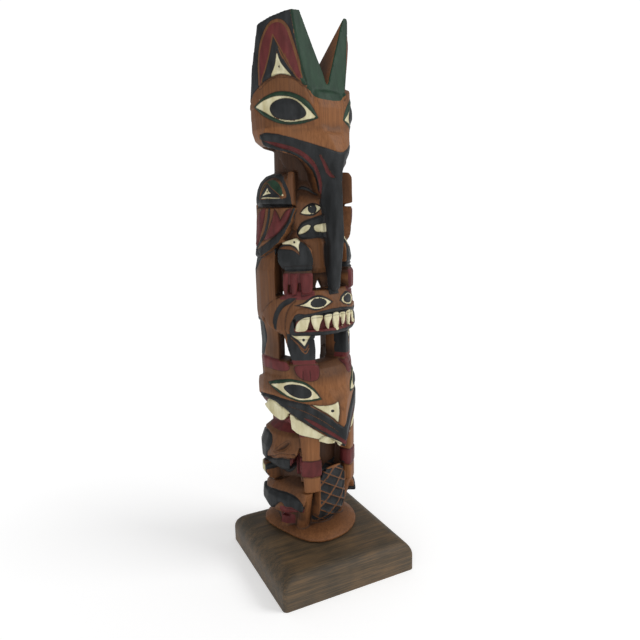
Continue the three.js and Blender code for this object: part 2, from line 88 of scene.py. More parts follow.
# %% Sockets as values
class Value:
    def __init__(self, shader, socket):
        self.shader = shader
        self.socket = socket

    def math(self, operation, *others):
        return self.shader.node("ShaderNodeMath", {"operation": operation}, self, *others)

    def __add__(self, other):
        return self.math("ADD", other)

    def __mul__(self, other):
        return self.math("MULTIPLY", other)

    def __sub__(self, other):
        return self.math("SUBTRACT", other)

    def __truediv__(self, other):
        return self.math("DIVIDE", other)

    def __rsub__(self, other):
        return self.shader.node("ShaderNodeMath", {"operation": "SUBTRACT"}, other, self)

    __radd__ = __add__
    __rmul__ = __mul__

    def clamped(self):
        return self.shader.node("ShaderNodeClamp", {}, self)

    def band(self, low, high):
        """0 at low, 1 at high, and straight in between."""
        return ((self - low) / (high - low)).clamped()


class Shader:
    def __init__(self, name):
        self.material = bpy.data.materials.new(name)
        self.material.use_nodes = True
        self.nodes = self.material.node_tree.nodes
        self.links = self.material.node_tree.links
        self.surface = self.nodes["Principled BSDF"]

    def node(self, kind, settings, *inputs, output=0, **named):
        made = self.nodes.new(kind)
        for name, value in settings.items():
            setattr(made, name, value)
        for key, value in list(enumerate(inputs)) + list(named.items()):
            if value is not None:
                self.feed(made.inputs[key], value)
        return Value(self, made.outputs[output])

    def feed(self, socket, value):
        if isinstance(value, Value):
            self.links.new(value.socket, socket)
        else:
            socket.default_value = value

    def place(self, scale):
        """Object coordinates in millimetres, stretched by three numbers."""
        where = self.node("ShaderNodeTexCoord", {}, output="Object")
        return self.node("ShaderNodeVectorMath", {"operation": "MULTIPLY"}, where,
                         tuple(s / MM for s in scale))

    def noise(self, scale, detail=3.0, roughness=0.5):
        """Noise from 0 to 1 whose grain is as many cells to the millimetre along x, y and z."""
        return self.node("ShaderNodeTexNoise", {}, Vector=self.place(scale), Scale=1.0,
                         Detail=detail, Roughness=roughness)

    def attribute(self, name):
        return self.node("ShaderNodeAttribute", {"attribute_name": name}, output="Fac")

    def mix(self, amount, first, second):
        made = self.nodes.new("ShaderNodeMix")
        made.data_type = "RGBA"
        for socket, value in ((0, amount), (6, first), (7, second)):
            self.feed(made.inputs[socket], value)
        return Value(self, made.outputs[2])

    def ramp(self, amount, stops):
        made = self.nodes.new("ShaderNodeValToRGB")
        while len(made.color_ramp.elements) < len(stops):
            made.color_ramp.elements.new(0.5)
        for element, (place, colour) in zip(made.color_ramp.elements, stops):
            element.position = place
            element.color = colour
        self.feed(made.inputs[0], amount)
        return Value(self, made.outputs[0])

    def bump(self, height, distance):
        return self.node("ShaderNodeBump", {}, Height=height, Distance=distance * MM, Strength=1.0,
                         output="Normal")


def paint_colour(red, green, blue):
    """A colour as a screen shows it, from 0 to 255, turned into the light it gives back."""
    def linear(c):
        c /= 255
        return c / 12.92 if c <= 0.04045 else ((c + 0.055) / 1.055) ** 2.4
    return (linear(red), linear(green), linear(blue), 1.0)


# %% [markdown]
# ## The log as a chart
#
# A carver lays the figures out on the log's bark. The same chart is used here: a place is an
# angle round the log and a height above the table. Angle 0 is the front, and the figures'
# right sides mirror their left sides, so every outline is drawn once, on the viewer's left,
# where angles are negative. One degree is about half a millimetre along the bark.

# %% Reading the mesh as places on the log
LOG_RADIUS = 30.5
LOG_PLACE = (-0.9, 11.6)
LOG_TURN = math.radians(13)
FAR = 6.0  # millimetres; further than this from an outline, the exact distance doesn't matter


def normals_of(mesh):
    normals = np.empty(len(mesh.vertices) * 3)
    mesh.vertex_normals.foreach_get("vector", normals)
    return normals.reshape(-1, 3)


class Places:
    """The vertices of a mesh as angles, heights and distances from the log's axis."""
    def __init__(self, mesh):
        points = np.empty(len(mesh.vertices) * 3)
        mesh.vertices.foreach_get("co", points)
        self.points = points.reshape(-1, 3)
        x = self.points[:, 0] / MM - LOG_PLACE[0]
        y = self.points[:, 1] / MM - LOG_PLACE[1]
        self.x = x * math.cos(LOG_TURN) + y * math.sin(LOG_TURN)
        self.y = y * math.cos(LOG_TURN) - x * math.sin(LOG_TURN)
        self.height = self.points[:, 2] / MM
        self.radius = np.hypot(self.x, self.y)
        self.angle = -np.abs(np.degrees(np.arctan2(self.x, -self.y)))
        # 1 where the surface looks straight out of the log, 0 on the sides of a cut
        outward = np.stack([self.points[:, 0] / MM - LOG_PLACE[0],
                            self.points[:, 1] / MM - LOG_PLACE[1]], 1) / self.radius[:, None]
        self.facing = (normals_of(mesh)[:, :2] * outward).sum(1)
        self.along = np.radians(self.angle) * LOG_RADIUS

    def inside(self, outline, limits=()):
        """How many millimetres each vertex lies inside an outline; negative outside."""
        ring = np.array([(math.radians(a) * LOG_RADIUS, z) for a, z in outline])
        low, high = ring.min(0) - FAR, ring.max(0) + FAR
        near = np.flatnonzero((self.along > low[0]) & (self.along < high[0])
                              & (self.height > low[1]) & (self.height < high[1]))
        result = np.full(len(self.along), -FAR)
        if len(near) == 0:
            return result
        u, v = self.along[near], self.height[near]
        nearest = np.full(len(near), 1e9)
        within = np.zeros(len(near), bool)
        for (ax, ay), (bx, by) in zip(ring, np.roll(ring, -1, 0)):
            dx, dy = bx - ax, by - ay
            share = np.clip(((u - ax) * dx + (v - ay) * dy) / (dx * dx + dy * dy + 1e-9), 0, 1)
            nearest = np.minimum(nearest, (u - ax - share * dx) ** 2 + (v - ay - share * dy) ** 2)
            if ay != by:
                crosses = (ay > v) != (by > v)
                within ^= crosses & (u < ax + (v - ay) / (by - ay) * dx)
        result[near] = np.where(within, 1, -1) * np.sqrt(nearest)
        for limit in limits:
            result = np.minimum(result, limit(self))
        return np.clip(result, -FAR, FAR)

    def inside_flat(self, corners, limits):
        """The same for a convex outline of [x, z] seen straight from the front."""
        result = np.full(len(self.x), FAR)
        middle = np.mean(corners, 0)

        def beside(x, z):
            return ((x - ax) * (bz - az) - (z - az) * (bx - ax)) / math.hypot(bx - ax, bz - az)

        for (ax, az), (bx, bz) in zip(corners, corners[1:] + corners[:1]):
            inward = math.copysign(1, beside(*middle))
            result = np.minimum(result, inward * beside(self.x, self.height))
        for limit in limits:
            result = np.minimum(result, limit(self))
        return np.clip(result, -FAR, FAR)


# %% Outlines
def smooth(points, steps=6):
    """A closed curve through points. A point given twice in a row is a sharp corner."""
    p = np.array(points, float)
    curve = []
    for i in range(len(p)):
        a, b, c, d = (p[(i + k) % len(p)] for k in (-1, 0, 1, 2))
        if np.allclose(b, c):
            continue
        for s in range(steps):
            t = s / steps
            curve.append(0.5 * (2 * b + (c - a) * t + (2 * a - 5 * b + 4 * c - d) * t * t
                                + (3 * b - a - 3 * c + d) * t ** 3))
    return curve


def stroke(points, width, taper=True):
    """A brush stroke along a path, `width` millimetres wide in its middle."""
    p = np.array([(math.radians(a) * LOG_RADIUS, z) for a, z in points])
    path = np.array(smooth([p[0], *p, p[-1]])[:-6] + [p[-1]]) if len(p) > 2 else p
    heading = np.gradient(path, axis=0)
    normal = np.stack([-heading[:, 1], heading[:, 0]], 1)
    normal /= np.linalg.norm(normal, axis=1)[:, None] + 1e-9
    share = np.linspace(0, 1, len(path))
    half = width / 2 * (np.sqrt(np.sin(np.pi * (0.06 + 0.88 * share))) if taper else 1 + 0 * share)
    ring = np.concatenate([path + normal * half[:, None], (path - normal * half[:, None])[::-1]])
    return [(math.degrees(u / LOG_RADIUS), v) for u, v in ring]


def spot(angle, height, across, tall=None):
    """A round or oval spot."""
    tall = tall or across
    return [(angle + math.degrees(across / 2 / LOG_RADIUS) * math.cos(t),
             height + tall / 2 * math.sin(t)) for t in np.linspace(0, 2 * math.pi, 20)[:-1]]


def outside_of(radius):
    return lambda places: places.radius - radius


def within_of(radius):
    return lambda places: radius - places.radius


def on_bark(places):
    """Leaves out the sides of a cut."""
    return (places.facing - 0.45) * 4


def on_left(places):
    return -1.0 - places.x


# %% [markdown]
# ## Knife and brush
#
# Each figure is written down once and worked over twice. In the first pass `Knife` raises or
# lowers the wood inside each outline and cuts a V along its edge. The mesh is then thinned where
# it is plain, and in the second pass `Brush` notes how far each vertex is inside every painted
# area. The shader turns those distances into crisp edges, finer than the mesh itself.

# %% The two passes
PAINTS = ("black", "red", "green", "cream")
BARE_STAIN = 0.55  # wood left bare between paints is dirtier than open wood


def ease(t):
    t = np.clip(t, 0, 1)
    return t * t * (3 - 2 * t)


class Knife:
    def __init__(self, places):
        self.places = places
        self.rise = np.zeros(len(places.along))

    def area(self, colour, outline, limits=(), rise=0.0, edge=1.2, groove=0.0, width=1.1, grow=0.0):
        if not rise and not groove:
            return
        depth = self.places.inside(outline, limits) + grow
        if rise:
            self.rise += rise * ease(depth / edge)
        if groove:
            self.rise -= groove * np.clip(1 - np.abs(depth) / (width / 2), 0, 1)

    def stain(self, outline, limits=(), strength=1.0, soft=4.0):
        """Stain and painted shade take no wood away."""

    def flat(self, colour, corners, limits, rise, edge):
        self.rise += rise * ease(self.places.inside_flat(corners, limits) / edge)


class Brush:
    def __init__(self, places):
        self.places = places
        count = len(places.along)
        self.paint = {name: np.full(count, -FAR) for name in PAINTS}
        self.line = np.full(count, FAR)
        self.dark = np.zeros(count)

    def flat(self, colour, corners, limits, rise, edge):
        depth = self.places.inside_flat(corners, limits)
        self.paint[colour] = np.maximum(self.paint[colour], depth)

    def stain(self, outline, limits=(), strength=1.0, soft=4.0):
        """Darkens the wood, for stain and for painted shade, fading over `soft` millimetres at its
        edge.
        """
        depth = self.places.inside(outline, limits)
        self.dark = np.maximum(self.dark, strength * ease(depth / soft + 0.5))

    def area(self, colour, outline, limits=(), rise=0.0, edge=1.2, groove=0.0, width=1.1, grow=0.0):
        depth = self.places.inside(outline, limits) + grow
        if groove:
            self.line = np.minimum(self.line, np.abs(depth))
        if colour is None:
            return
        if colour == "bare":
            self.dark = np.maximum(self.dark, BARE_STAIN * ease(depth + 0.5))
        for name in PAINTS:
            if name == colour:
                self.paint[name] = np.maximum(self.paint[name], depth)
            else:
                self.paint[name] = np.minimum(self.paint[name], -depth)


# %% [markdown]
# ## The bird
#
# The horns are green in front and black at the sides, with a red ear that holds a cream
# triangle. A great green-rimmed eye covers each side of the head, and the black lips run on into
# the long beak. The folded wings carry U-shapes on the shoulder and red feathers below.

# %% Bird
HORN_FRONT = Vector((0, -1, 0.11)).normalized()  # which way the horns' flat front faces
HORN_FOOT = (-26, 289)  # a point on that front: how far forward, and how high
FRONT_SKIN = 0.7


def on_horn_front(places):
    """Positive on the flat front of the horns, negative behind it."""
    forward, height = HORN_FOOT
    reach = (places.y - forward) * HORN_FRONT.y + (places.height - height) * HORN_FRONT.z
    return reach + FRONT_SKIN


def behind_horn_front(places):
    return -on_horn_front(places)


BIRD_ARCH = [(-180, 282), (-118, 284), (-102, 288.8), (-82, 293.6), (-67, 296.4), (-55, 297.2),
             (-42, 295.2), (-31, 290.6), (-24, 285)]


def bird_crest(tool):
    bark = (outside_of(28.0), behind_horn_front)
    tool.area("black", [*BIRD_ARCH, (-12, 285), (-12, 334), (-180, 334)], bark)
    ear = smooth([(-84, 292.5), (-84, 292.5), (-83, 306), (-77, 315.5), (-68, 321.6), (-57, 323.2),
                  (-49, 320), (-43, 311.5), (-37, 301), (-32, 292), (-32, 292), (-42, 296),
                  (-64, 297)])
    tool.area("bare", ear, bark, grow=1.7, groove=0.35)
    tool.area("red", ear, bark, rise=0.3)
    tool.stain([(-88, 288), (-86, 318), (-57, 327), (-38, 314), (-28, 288)], bark, 0.4)
    inner = smooth([(-83.5, 292), (-83.5, 292), (-75, 300.5), (-68, 309), (-63.5, 317.4),
                    (-63.5, 317.4), (-57, 311.5), (-48, 303), (-35, 292), (-35, 292), (-55, 296)])
    tool.area("bare", inner, bark, grow=0.3)
    tool.area("black", inner, bark, rise=-0.35, groove=0.3, grow=-0.5)
    tool.area("bare", stroke([(-62, 313), (-55, 307.5), (-47, 301), (-40, 296)], 0.8), bark)
    cream = smooth([(-68.5, 296), (-68.5, 296), (-62.5, 302), (-59.8, 309.4), (-59.8, 309.4),
                    (-55.5, 303), (-43.5, 295.6), (-43.5, 295.6), (-56, 297.3)])
    tool.area("cream", cream, bark, rise=-0.35, groove=0.25)
    tool.area("black", spot(-57.4, 301.2, 1.5), bark)
    tool.area("green", [(-60, 334), (-50, 318), (-40, 300), (-33, 291), (-27.5, 290.6),
                        (-24, 287.4), (-19, 285.2), (-12, 284.2), (4, 283.6), (4, 334)],
              (on_horn_front,))
    tool.area("green", smooth([(-27.5, 290.6), (-24, 287.4), (-19, 285.2), (-12, 284.2),
                               (4, 283.6), (4, 283.6), (4, 292), (4, 292)]), (outside_of(24),))
    # Painted shade deep in the notch between the horns.
    hollow = [(-180, 286), (-60, 292), (0, 292), (0, 334), (-180, 334)]
    tool.stain(hollow, (within_of(24), behind_horn_front), 0.35)


def bird_head(tool):
    skin = (outside_of(20),)
    tool.area("bare", [*BIRD_ARCH, (-22, 270), (-180, 270)], skin)
    tool.area(None, stroke(BIRD_ARCH, 0.3, False), (outside_of(27),), groove=0.5, width=1.4)
    # Painted shade in the crease under the brow and below the eye.
    tool.stain(stroke([(-20, 268.6), (-12, 270), (0, 269.6), (12, 270)], 3), skin, 0.5, 4)
    tool.stain(stroke([(-17, 273.6), (-26, 269), (-44, 267.6)], 2), skin, 0.35, 4)
    rim = smooth([(-98, 282.4), (-98, 282.4), (-75, 286.8), (-57, 288.3), (-40, 286.5),
                  (-26, 281.6), (-17, 274), (-17, 274), (-35, 271), (-55, 271.2), (-75, 275.2)])
    tool.area("green", rim, skin, rise=0.7, edge=1.6, groove=0.35)
    white = smooth([(-93.5, 282), (-93.5, 282), (-71, 285.2), (-55, 285.8), (-40, 283.8),
                    (-29, 279), (-19.6, 274.2), (-19.6, 274.2), (-35, 272.6), (-50, 272.2),
                    (-64, 274.8), (-79, 279)])
    tool.area("cream", white, skin, rise=-0.45, edge=0.9, groove=0.25)
    pupil = smooth([(-69.8, 279.4), (-66, 282.6), (-54, 284.5), (-41, 283.2), (-31.5, 278.4),
                    (-31, 275.2), (-39, 273.2), (-52, 273.3), (-64, 275.4)])
    tool.area("black", pupil, skin, rise=0.9, edge=3.5, groove=0.15)
    tool.area("cream", spot(-85.5, 285.7, 1.0), skin)


def bird_beak(tool):
    lip_top = [(-92, 267.2), (-75, 267.4), (-61, 266.2), (-46, 264.1), (-26, 260.6), (-12, 257.8),
               (-4, 256), (6, 255)]
    lip_low = [(4, 176), (-7, 176), (-7.6, 206), (-11, 225), (-16, 237), (-18.5, 241.5),
               (-22.5, 245.8), (-29, 249.4), (-37, 252.6), (-47, 255.4), (-56, 257), (-66, 258),
               (-78, 259.8), (-88, 262.4), (-94, 265)]
    tool.area("black", lip_top + lip_low, (outside_of(24.5),), rise=0.5, edge=1.0, groove=0.35)
    mouth = smooth([(-81, 263.4), (-81, 263.4), (-63, 261.7), (-47, 259.4), (-36, 256.9),
                    (-26, 252.7), (-19.5, 248.4), (-14.6, 243), (-12.2, 237), (-12, 231),
                    (-12, 231), (-15.5, 238.6), (-18.8, 243.8), (-23, 247.8), (-31, 252),
                    (-38.5, 254.9), (-49, 257.3), (-63.5, 259.5)])
    tool.area("red", mouth, (outside_of(23.5),), rise=-0.8, edge=0.8, groove=0.2)
    nostril = stroke([(-18, 254.6), (-14, 250.8), (-10, 247.2), (-7, 244), (-4.5, 242.2)], 1.5)
    tool.area("red", nostril, (outside_of(28),), rise=-0.5, edge=0.5, groove=0.3)
    # Stain and painted shade on the throat, deep under the lips.
    tool.stain([(-180, 232), (-180, 264), (-78, 260), (-30, 250), (-16, 236), (-10, 232)],
               (within_of(26.5),), 0.9)
    tool.stain(stroke([(-92, 266), (-70, 262), (-40, 259)], 6), (outside_of(24),), 0.3)


def bird_wing(tool):
    bark = (outside_of(22), on_bark)
    dome = (outside_of(20), lambda p: (p.facing - 0.1) * 8)
    shoulder = smooth([(-47.5, 227), (-47.5, 227), (-49.4, 234), (-54, 239.8), (-61, 243.4),
                       (-70, 245.4), (-84, 247), (-100, 246.4), (-116, 242), (-132, 236),
                       (-132, 236), (-132, 227), (-132, 227)])
    tool.area("black", shoulder, dome)
    arch = smooth([(-99, 231.4), (-99, 231.4), (-97, 237), (-91, 241.8), (-80, 243.4),
                   (-67, 242.2), (-57.5, 238.4), (-53.4, 233.4), (-54.6, 231.6), (-54.6, 231.6)])
    tool.area("bare", arch, dome, groove=0.35)
    green = smooth([(-95.5, 232.2), (-95.5, 232.2), (-93, 237.2), (-87, 240.8), (-77, 242),
                    (-67, 240.6), (-59.6, 237), (-56.6, 233), (-56.6, 233)])
    tool.area("green", green, dome, rise=-0.3)
    inner = smooth([(-98, 231.4), (-98, 231.4), (-91, 236.6), (-86, 240.2), (-86, 240.2),
                    (-75, 237.2), (-60, 232.2), (-60, 232.2)])
    tool.area("bare", inner, dome, grow=0.5)
    tool.area("black", inner, dome, rise=-0.3, groove=0.25)
    tool.area("cream", smooth([(-94.5, 232.7), (-94.5, 232.7), (-87, 235), (-83, 238),
                               (-83, 238), (-79.6, 235.6), (-72, 234.4), (-72, 234.4),
                               (-84, 234)]), dome, rise=-0.2)
    tool.area("black", spot(-82.6, 235.6, 1.2), dome)
    tool.area("black", [(-48, 226.8), (-49, 231.2), (-132, 231.2), (-132, 226.8)], dome)
    tool.area("cream", stroke([(-97, 231.8), (-78, 232), (-57, 231.4)], 0.7), dome)
    tool.area("cream", spot(-57.8, 233.4, 1.3), dome)
    tool.stain([(-44, 250), (-74, 252), (-66, 243), (-54, 239), (-48, 228), (-40, 228)], (), 0.8)

    feathers = [(-43, 226.6), (-49, 218.4), (-56, 212.4), (-64, 207), (-76, 202.4), (-90, 198.6),
                (-104, 196), (-112, 197.5), (-124, 204), (-132, 207), (-132, 226.6)]
    tool.area("black", feathers, bark)
    field = smooth([(-46.4, 226.8), (-46.4, 226.8), (-51, 221), (-58, 215.8), (-68, 211.2),
                    (-82, 206.8), (-97, 203.4), (-111, 201), (-111, 201), (-112.5, 213),
                    (-109, 226.8), (-109, 226.8)])
    tool.area("bare", field, bark, rise=0.3, groove=0.5)
    tool.stain(feathers, (), 0.6)
    first = smooth([(-110.5, 203), (-110.5, 203), (-108.5, 213), (-102, 222), (-91, 225.8),
                    (-84, 226.4), (-84, 226.4), (-87, 219.5), (-93.5, 212.5), (-101.5, 207)])
    tool.area("red", first, bark, rise=0.6, groove=0.7, width=1.4)
    rib = stroke([(-76, 227.5), (-78.5, 220), (-84.5, 212.8), (-94, 207.4), (-108, 202.6)], 2.2)
    tool.area("black", rib, bark, rise=0.4, groove=0.5)
    second = smooth([(-69.5, 226), (-69.5, 226), (-73, 219.5), (-79.5, 213), (-89, 207.6),
                     (-89, 207.6), (-73, 209.8), (-60, 214.6), (-52.5, 219.8), (-48.4, 226),
                     (-48.4, 226), (-55, 224.6), (-61.5, 219.4), (-61.5, 219.4), (-65, 223)])
    tool.area("red", second, bark, rise=0.6, groove=0.7, width=1.4)


def bird_body(tool):
    breast = (within_of(27.6), outside_of(15))
    brow = smooth([(-47, 235.4), (-47, 235.4), (-37, 238.4), (-23, 237.4), (-13, 234),
                   (-13, 232.6), (-23, 235), (-36, 236.4)])
    tool.area("black", brow, (within_of(27.6),), rise=0.7, edge=1.0, groove=0.5, grow=-0.25)
    # Stain and painted shade on the chest, in the recess under the head.
    tool.stain([(-62, 186), (-62, 246), (8, 246), (8, 186)], (within_of(27.4),), 0.35)
    # Painted shade in the crease under the small face's brow.
    tool.stain(stroke([(-48, 233), (-36, 235), (-22, 233), (-12, 230)], 3), (within_of(27.6),), 0.9)
    eye = smooth([(-40.5, 222.8), (-40.5, 222.8), (-34, 226.2), (-24, 228.6), (-14.5, 227.6),
                  (-11.5, 225.6), (-21, 221.9), (-31, 221.6)])
    tool.area("black", eye, breast, rise=0.6, edge=1.2, groove=0.4)
    white = smooth([(-39, 223.1), (-39, 223.1), (-33, 225.7), (-24, 227.7), (-15.7, 227.1),
                    (-12.5, 225.5), (-22, 222.8), (-31, 222.4)])
    tool.area("cream", white, breast, rise=0.3)
    tool.area("black", spot(-24, 225.3, 6, 5), (within_of(27.6),), rise=0.3)
    tool.area("cream", spot(-25.5, 226.4, 1.2), (within_of(27.6),))
    lips = smooth([(-45.5, 213.4), (-45.5, 213.4), (-38, 217.6), (-28, 219.6), (-14, 221.4),
                   (-4, 221.4), (-4, 209.6), (-16, 208.8), (-38, 208.4), (-45, 210.8)])
    tool.area("black", lips, breast, rise=1.0, edge=1.2, groove=0.4)
    tool.stain([(-48, 206), (-48, 220), (4, 222), (4, 206)], (within_of(27.6),), 0.3)
    tooth = smooth([(-43.4, 211.2), (-39, 214.4), (-31, 216.4), (-26, 215.8), (-29, 213.2),
                    (-36, 211.6)])
    tool.area("cream", tooth, breast, rise=-0.5, edge=0.8, groove=0.3)
    wide = smooth([(-21.6, 215.6), (-15, 216.6), (-4, 216.8), (-4, 212.6), (-17, 212.4)])
    tool.area("cream", wide, breast, rise=-0.5, edge=0.8, groove=0.3)


def bird_leg(tool):
    leg = (outside_of(22),)
    thigh = smooth([(-76, 202), (-66, 205), (-53, 206), (-42, 207.6), (-31, 204), (-26.4, 198),
                    (-26.4, 190.6), (-26.4, 190.6), (-60, 190.6), (-66, 194)])
    tool.area("black", thigh, leg, rise=0.3)
    wedge = smooth([(-69, 203), (-69, 203), (-60, 204.6), (-52, 204.6), (-44, 202.4),
                    (-41, 199.4), (-41, 199.4), (-48, 202.2), (-57, 203)])
    tool.area("bare", wedge, leg, rise=-0.3, groove=0.3)
    cream = smooth([(-71.5, 204.8), (-71.5, 204.8), (-63, 206.6), (-54, 208.6), (-47.5, 209.4),
                    (-40.4, 207.2), (-40.4, 207.2), (-42, 204.8), (-41.2, 200.8), (-41.2, 200.8),
                    (-46, 204.2), (-54, 205.6), (-63, 205.6)])
    tool.area("cream", cream, leg, groove=0.3)
    tool.area("black", spot(-47.8, 206.9, 1.5), leg)
    tool.area(None, [(-60, 193.4), (-26, 193.4), (-26, 190), (-60, 190)], leg, rise=0.3, groove=0.4)
    # Painted shadow in the gap between the thigh and the claws.
    tool.stain([(-66, 193), (-22, 193), (-22, 186.6), (-66, 188)], leg, 0.9, 3)
    tool.area("red", [(-66, 189.4), (-25, 189.4), (-25, 174), (-66, 174)],
              (*leg, lambda p: p.facing * 8 - 2))
    for low, high in ((-62, -54.4), (-52.6, -43.4), (-41.6, -26)):
        claw = smooth([(low, 189.4), (low, 189.4), (high, 189.4), (high, 189.4),
                       (high - 0.6, 182), (high - 2.4, 177), (high - 2.4, 177), (low + 1.4, 176),
                       (low + 1.4, 176), (low, 182)])
        tool.area(None, claw, leg, rise=0.9, edge=2.2, groove=0.4)
    # Painted shade in the clefts between the claws.
    for angle in (-53.5, -42.5):
        cleft = [(angle, 188), (angle - 3, 174), (angle + 3, 174)]
        tool.stain(cleft, (), 1.0, 3)


def bird_tail(tool):
    back_edge = smooth([(-92, 199), (-92, 199), (-101, 196), (-112, 189), (-116, 178), (-116, 158),
                        (-116, 158), (-140, 158), (-140, 204)])
    tool.area("black", back_edge, (outside_of(27), on_bark), groove=0.3)
    # Stain and painted shade on the post and round it, darkest where it lies deep.
    post = [(-62, 206), (-62, 158), (-132, 158), (-132, 206)]
    tool.stain(post, (), 0.7)
    tool.stain(post, (within_of(25),), 0.9)
    tool.stain([(-66, 150), (-66, 196), (-150, 196), (-150, 150)], (), 0.45, 6)


def bird(tool):
    for part in (bird_crest, bird_head, bird_beak, bird_wing, bird_body, bird_leg, bird_tail):
        part(tool)


# %% [markdown]
# ## The bear
#
# The bear's head fills the log's width, with an open mouth full of teeth. Its arms come down the
# sides, and its legs stand in front with daylight between them.

# %% Bear
def bear_head(tool):
    skin = (outside_of(24),)
    ear = smooth([(-46, 175), (-46, 175), (-55, 174.8), (-65, 171.6), (-73, 166.2), (-76.4, 160.6),
                  (-74.6, 156.4), (-72, 156), (-71, 160), (-67.6, 165), (-61, 169.6), (-53, 172)])
    tool.area("black", ear, skin, rise=-0.7, edge=0.9, groove=0.3)
    tool.stain([(-44, 176), (-56, 172), (-66, 164), (-70, 154), (-56, 152), (-53, 162),
                (-47, 168)], skin, 0.55, 5)
    tool.stain([(-98, 150), (-98, 182), (8, 182), (8, 150)], skin, 0.5, 5)
    tool.stain([(-66, 181), (8, 184), (8, 176), (-34, 177), (-60, 174)], (), 0.6, 4)
    tool.area(None, stroke([(-47, 173.5), (-53.4, 170.2), (-58.4, 165.2), (-60, 159.8),
                            (-61, 152)], 0.5), skin, groove=0.6, width=1.6)
    socket = smooth([(-48.5, 170.6), (-48.5, 170.6), (-39, 172), (-31, 174.9), (-22.5, 176.2),
                     (-14, 175.3), (-4.5, 171.9), (-4.5, 171.9), (-12, 169.6), (-20, 168),
                     (-27, 167.8), (-36, 169.6)])
    tool.area("black", socket, skin, rise=0.5, edge=1.2, groove=0.4)
    white = smooth([(-43.4, 170.6), (-43.4, 170.6), (-36, 171.9), (-30.5, 174), (-22.5, 175.2),
                    (-14, 174.2), (-7.4, 172), (-7.4, 172), (-13, 170), (-19, 168.9),
                    (-26, 168.7), (-34, 170)])
    tool.area("cream", white, skin)
    tool.area("black", smooth([(-31, 171.8), (-28, 173.8), (-22, 174.6), (-15.5, 173.9),
                               (-12.2, 172.2), (-15, 170.2), (-22, 169.4), (-29, 170)]), skin,
              rise=0.4, edge=1.5)
    lips = [(-56.6, 150), (-55.5, 156), (-52.5, 161), (-48, 165), (-44, 166), (-37, 165.6),
            (-28, 166.1), (-17.6, 167.2), (-6.8, 167.8), (4, 167.6), (4, 150)]
    tool.area("black", lips, (outside_of(24),), rise=0.5, edge=1.2, groove=0.5)
    mouth = smooth([(-48.6, 155.4), (-47.4, 160.6), (-42, 162.4), (-33, 162.9), (-16, 163.4),
                    (4, 163.6), (4, 163.6), (4, 154.4), (4, 154.4), (-19, 155), (-38, 155.2)])
    tool.area("red", mouth, (outside_of(24),), groove=0.2)
    # Painted shade inside the open mouth, behind the teeth.
    tool.stain(mouth, (within_of(29.4),), 0.8, 2)


BEAR_TEETH = (
    ((-47.8, 156.1), (-46.3, 160), (-40, 163), (-31.8, 163.6), (-33.2, 159.8), (-35.8, 156.3),
     (-41.5, 155.6)),
    ((-30.4, 164), (-16.4, 164), (-20, 160), (-22.6, 155.8), (-27.4, 156.8)),
    ((-15, 164), (-4.9, 164), (-9.2, 159.3), (-10.4, 155.8), (-13.4, 158.2)),
    ((-4.2, 164.4), (4.2, 164.4), (2.2, 155.6), (-2.2, 155.6)),
)


def bear_teeth(tool):
    for tooth in BEAR_TEETH:
        tool.area("cream", smooth(tooth), (outside_of(29.2),), rise=0.3, edge=0.8)


def bear_limbs(tool):
    leg = (outside_of(20), within_of(29.6), lambda p: 60 + p.angle)
    tool.area("black", [(-64, 153.4), (-60, 140), (-56, 137.4), (-24, 137.4), (-24, 153.4)], leg)
    tool.area("bare", stroke([(-56, 151.6), (-48, 148), (-38.6, 143.6), (-33.6, 147)], 1.2), leg,
              groove=0.3)
    tool.area("bare", stroke([(-46, 146), (-38, 141.6), (-33, 145)], 0.7), leg)
    triangle = smooth([(-54.5, 152.8), (-54.5, 152.8), (-46, 149.6), (-38.6, 145.8), (-38.6, 145.8),
                       (-34, 149.8), (-31, 152.8), (-31, 152.8)])
    tool.area("cream", triangle, (outside_of(20), within_of(30.2)), groove=0.25)
    tool.area("black", spot(-39.6, 149.8, 1.8), leg)
    tool.area("red", [(-60, 137.4), (-22, 137.4), (-22, 134.8), (-60, 134.8)], leg)
    tool.stain([(-60, 139), (-22, 139), (-22, 134), (-60, 134)], leg, 0.7, 3)
    foot = smooth([(-50, 134), (-23, 134), (-21.5, 129), (-25, 125.4), (-34, 124.8),
                   (-43, 126.2), (-50, 129.6)])
    tool.area("red", foot, (outside_of(22),), rise=0.4, edge=1.6, groove=0.2)
    for angle in (-41.5, -33):
        tool.area(None, stroke([(angle, 131), (angle, 125.6)], 0.4), (outside_of(24),), groove=0.5)
    # The wood and paint are darker over the bear's feet.
    round_the_feet = [(-66, 140), (8, 140), (8, 123), (-16, 125), (-24, 124), (-50, 124), (-58, 130)]
    tool.stain(round_the_feet, (), 0.85, 7)
    strip = smooth([(-104, 160), (-104, 160), (-98, 157), (-95, 149.6), (-99, 144), (-105, 138),
                    (-105, 138), (-140, 136), (-140, 160)])
    tool.area("black", strip, (outside_of(26.4), on_bark), groove=0.3)
    hand = smooth([(-112, 137), (-80, 137.4), (-62, 136), (-58, 132), (-66, 130.4), (-84, 130.6),
                   (-112, 131)])
    tool.area("red", hand, (outside_of(24), on_bark), groove=0.2)
    # Stain and painted shade on the arms, darkest where they lie deep.
    arm = [(-60, 158), (-60, 116), (-132, 116), (-132, 158)]
    tool.stain(arm, (), 0.6)
    tool.stain(arm, (within_of(24),), 0.9)


def bear(tool):
    bear_head(tool)
    bear_teeth(tool)
    bear_limbs(tool)


# %% [markdown]
# ## The beaver
#
# The beaver has the longest snout, black lips with long teeth below them, and forearms that hold
# its cross-hatched tail in front. Its legs are folded at the sides.

